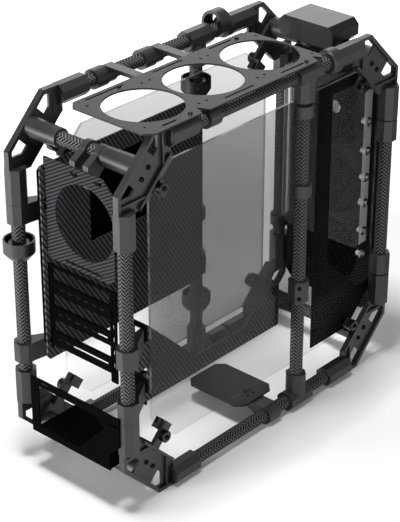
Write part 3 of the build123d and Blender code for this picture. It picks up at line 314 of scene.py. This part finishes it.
near_sides = pane_sides(rear=-0.223, front=0.285, bottom=0.063, top=0.505, cut=0.047)
far_sides = pane_sides(rear=-0.223, front=0.223, bottom=0.063, top=0.505, cut=0.047)
plate_sides = [((0, 1, 0), 0.079), ((0, -1, 0), 0.079)]
# the second colour of each is the painted highlight of its polished edge
paint(clear_sheet("smoked_glass_near", "#1c1d1e", "#5a5d5f", 0.42, all_along, 0.3, near_sides),
      ["glass_pane_near"])
paint(clear_sheet("smoked_glass_far", "#1c1d1e", "#5a5d5f", 0.3, 0.0, 1.0, far_sides),
      ["glass_pane_far"])
paint(clear_sheet("clear_acrylic", "#b8bdc0", "#eef0f1", 0.06, all_along, 1.0, plate_sides),
      ["distribution_plate"])


# Screws

# Button head screws with hexagon sockets, black oxide steel, which is a dark metal with small
# sharp reflections. Two hold each corner bracket's web, one goes through every holder knob, and
# the rest fix the plates and clamps.

def turned(name, rings, places, material):
    """One object of equal turned pieces. A place is (point on a face, direction outward there).

    A ring is (radius, height, flats) in metres, and its points go round at that radius and height.
    A round ring has 0 flats. With flats the radius is over the cosine of the angle from the middle
    of the nearest flat. Quads join the rings and a polygon closes each end.
    """
    corners = 24
    angle = np.linspace(0, 2 * np.pi, corners, endpoint=False)
    profile = []
    for radius, height, flats in rings:
        reach = np.full(corners, radius)
        if flats:
            step = np.pi / flats
            reach = radius / np.cos(angle % (2 * step) - step)
        profile.append(np.stack((reach * np.cos(angle), reach * np.sin(angle),
                                 np.full(corners, height)), axis=1))
    points = np.array([place[0] for place in places])
    out = np.array([place[1] for place in places], dtype=float)
    out /= np.linalg.norm(out, axis=1, keepdims=True)
    side = np.cross(out, np.where(np.abs(out[:, 2:]) > 0.9, [[1.0, 0, 0]], [[0, 0, 1.0]]))
    side /= np.linalg.norm(side, axis=1, keepdims=True)
    turn = np.stack((side, np.cross(out, side), out), axis=1)
    verts = points[:, None, None, :] + np.einsum("kjc,mcd->mkjd", np.array(profile), turn)
    last = (len(rings) - 1) * corners
    k, j = np.meshgrid(np.arange(len(rings) - 1) * corners, np.arange(corners), indexing="ij")
    after = (j + 1) % corners
    quads = np.stack((k + j, k + after, k + corners + after, k + corners + j), axis=-1)
    starts = np.arange(len(places)) * (last + corners)
    faces = (quads.reshape(-1, 4)[None] + starts[:, None, None]).reshape(-1, 4).tolist()
    faces += (np.arange(corners)[::-1][None] + starts[:, None]).tolist()
    faces += (np.arange(corners)[None] + last + starts[:, None]).tolist()
    mesh = bpy.data.meshes.new(name)
    mesh.from_pydata(verts.reshape(-1, 3).tolist(), [], faces)
    mesh.materials.append(material)
    made = bpy.data.objects.new(name, mesh)
    bpy.context.collection.objects.link(made)
    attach(made, "root")
    return made


def button_head(radius):
    """Rings of a button head: wall, domed shoulder, flat top, and a hexagon socket in it."""
    outline = ((1.0, 0.0, 0), (1.0, 0.26, 0), (0.88, 0.52, 0), (0.64, 0.7, 0),
               (0.42, 0.72, 6), (0.38, 0.25, 6))
    return [(radius * wide, radius * high, flats) for wide, high, flats in outline]


# each bracket's two web screws, measured inward from the frame's end and its foot or top
frame_end, frame_top, web_y = 0.302, 0.568, 0.1034
web_places = [((sx * (frame_end - u), sy * web_y, v if low else frame_top - v), (0, sy, 0))
              for sx in (-1, 1) for sy in (-1, 1) for low in (0, 1)
              for u, v in ((0.062, 0.049), (0.049, 0.062))]
knob_places = [((sx * 0.2146, sy * 0.1084, z), (0, sy, 0))
               for sx, sy in ((-1, -1), (-1, 1), (1, 1)) for z in (0.0874, 0.4806)]
knob_places += [((0.2219, -0.1084, z), (0, -1, 0)) for z in (0.0801, 0.4879)]
fan_plate_places = [((x, y, 0.5705), (0, 0, 1)) for x, y in (
    (-0.161, -0.106), (0.082, -0.106), (0.083, 0.025), (-0.160, 0.026))]
rear_plate_places = [((-0.291, y, 0.4995), (-1, 0, 0)) for y in (-0.0167, -0.0603)]
tray_places = [((x, 0.042, z), (0, -1, 0)) for x, z in (
    (-0.293, 0.445), (-0.293, 0.432), (-0.293, 0.224), (-0.289, 0.212))]
gusset_places = [((-0.226, -0.075, z), (-1, 0, 0)) for z in (0.240, 0.230, 0.156, 0.145)]
pump_plate_places = [((x, -0.057, 0.033), (0, 0, 1)) for x in (0.0165, 0.027)]
tube_block_places = [((0.0714, -0.1138, z), (-1, -1, 0)) for z in (0.194, 0.212)]

oxide = fine_grain("black_oxide_steel", "#141415", "#232426", 0.22, metal=True)
for name, radius, places in (
        ("bracket_screws", 0.0038, web_places),
        ("knob_screws", 0.0036, knob_places),
        ("fan_plate_screws", 0.0032, fan_plate_places),
        ("rear_plate_screws", 0.0034, rear_plate_places),
        ("tray_screws", 0.0034, tray_places),
        ("gusset_screws", 0.003, gusset_places),
        ("pump_plate_screws", 0.003, pump_plate_places),
        ("tube_block_screws", 0.0034, tube_block_places)):
    turned(name, button_head(radius), places, oxide)


# Ports of the distribution plate

# Nickel plated brass fittings screwed into the near edge of the clear plate. The thread shows
# through the acrylic as bright lines, and a collar with flats stands outside. A round fill port
# sits on the plate's rear face.

nickel = fine_grain("nickel_plated_brass", "#b4b6b9", "#d3d5d7", 0.22, metal=True)
# heights as in the photo; the lowest comes out 2 mm below the plate, which ends too high here
port_heights = (0.180, 0.221, 0.270, 0.314, 0.359, 0.408)
port_places = [((0.2715, -0.079, z), (0, -1, 0)) for z in port_heights]
# the thread is 9 mm deep, with a crest on every second ring
thread = [(0.0052 + 0.0008 * (step % 2), -0.009 + 0.001 * step, 0) for step in range(9)]
collar = [(0.0078, 0.0, 0), (0.0078, 0.0014, 0), (0.0066, 0.0018, 6), (0.0058, 0.0032, 6),
          (0.0044, 0.0034, 0), (0.0040, 0.0008, 0)]
turned("port_fittings", thread + collar, port_places, nickel)
fill_rings = [(0.0105, 0.0, 0), (0.0105, 0.0018, 0), (0.0095, 0.0026, 0), (0.0074, 0.0026, 0),
              (0.0068, 0.0008, 6)]
turned("fill_port", fill_rings, [((0.2625, -0.023, 0.421), (-1, 0, 0))], nickel)


# Floor, light and camera

# A pale matt floor that turns white with distance, a small high lamp that casts the shadow, a
# broad one behind on the right, a low one on the left and a weak one in front. A black card on
# the floor is seen only in reflections, and darkens the front faces as in the photo.

def flat_card(name, corners, material):
    """A flat sheet with the given corners, anticlockwise from above."""
    mesh = bpy.data.meshes.new(name)
    mesh.from_pydata(corners, [], [range(len(corners))])
    mesh.materials.append(material)
    made = bpy.data.objects.new(name, mesh)
    bpy.context.collection.objects.link(made)
    return made


white = linear("#ffffff")
matt = {"Roughness": 0.9, "Specular IOR Level": 0.1}

# the floor glows only for the rays that see it as a background, so no light is added to the object
floor_material, tree, shader, place, _ = finish_material("matt_white_floor")
rays = add(tree, "LightPath", []).node.outputs
seen = add(tree, "Math", [rays["Is Camera Ray"], rays["Is Transmission Ray"]], operation="MAXIMUM")
seen = add(tree, "Math", [seen, rays["Is Glossy Ray"]], operation="MAXIMUM")
far = add(tree, "VectorMath", [place], "Value", operation="LENGTH")
whiter = add(tree, "MapRange", [far, 0.7, 1.6, 0.03, 1.0])
glow = add(tree, "Math", [seen, whiter], operation="MULTIPLY")
fill(tree, shader, matt | {"Base Color": linear("#fcfcfc"), "Emission Color": white,
                           "Emission Strength": glow})
half, drop = 8.0, -0.0005
floor = flat_card("studio_floor", [(-half, -half, drop), (half, -half, drop), (half, half, drop),
                                   (-half, half, drop)], floor_material)

flag_material, tree, shader, _, _ = finish_material("matt_black_card")
rays = add(tree, "LightPath", []).node.outputs
fill(tree, shader, matt | {"Base Color": linear("#0a0a0a"), "Alpha": rays["Is Glossy Ray"]})
flag = flat_card("black_flag", [(0.25, -0.24, 0), (1.15, -1.05, 0), (2.6, -1.05, 0),
                                (2.6, -0.24, 0)], flag_material)

world = bpy.data.worlds.new("studio")
bpy.context.scene.world = world
world.use_nodes = True
tree = world.node_tree
rays = add(tree, "LightPath", []).node.outputs
seen = add(tree, "Math", [rays["Is Camera Ray"], rays["Is Transmission Ray"]], operation="MAXIMUM")
mirrored = add(tree, "Math", [rays["Is Glossy Ray"], 0.3], operation="MULTIPLY")
seen = add(tree, "Math", [seen, mirrored], operation="MAXIMUM")
strength = add(tree, "Mix", {0: seen, 2: 0.1, 3: 1.0})
fill(tree, tree.nodes["Background"], {"Color": white, "Strength": strength})


def soft_lamp(name, place, aim, size, power):
    """A square area lamp of the given size at place, turned to shine at aim."""
    data = bpy.data.lights.new(name, "AREA")
    data.size = size
    data.energy = power
    lamp = bpy.data.objects.new(name, data)
    lamp.location = place
    lamp.rotation_mode = "QUATERNION"
    lamp.rotation_quaternion = (Vector(aim) - Vector(place)).to_track_quat("-Z", "Y")
    bpy.context.collection.objects.link(lamp)


soft_lamp("top_lamp", (-0.4, 0.0, 2.6), (0, 0, 0), size=0.5, power=55)
soft_lamp("back_lamp", (1.7, 1.5, 1.5), (0, 0, 0.4), size=1.4, power=13)
soft_lamp("side_lamp", (-2.5, 0.9, 0.28), (0, 0, 0.3), size=0.5, power=62)
soft_lamp("front_lamp", (-1.2, -2.4, 0.9), (0, 0, 0.3), size=1.0, power=14)

# the camera of the photo: its direction from the point that it looks at, and its distance
azimuth = math.radians(-48.09)
elevation = math.radians(28.348)
target = Vector((-0.0226, 0.0012, 0.2557))
distance = 2.6706
back = Vector((math.sin(azimuth) * math.cos(elevation), -math.cos(azimuth) * math.cos(elevation),
               math.sin(elevation)))
camera_data = bpy.data.cameras.new("camera")
camera_data.sensor_width = 36.0
camera_data.lens = 124.10
camera_data.clip_end = 50.0
camera = bpy.data.objects.new("camera", camera_data)
camera.location = target + back * distance
camera.rotation_mode = "QUATERNION"
camera.rotation_quaternion = (-back).to_track_quat("-Z", "Y")
bpy.context.collection.objects.link(camera)
bpy.context.scene.camera = camera
bpy.context.scene.view_settings.view_transform = "Standard"
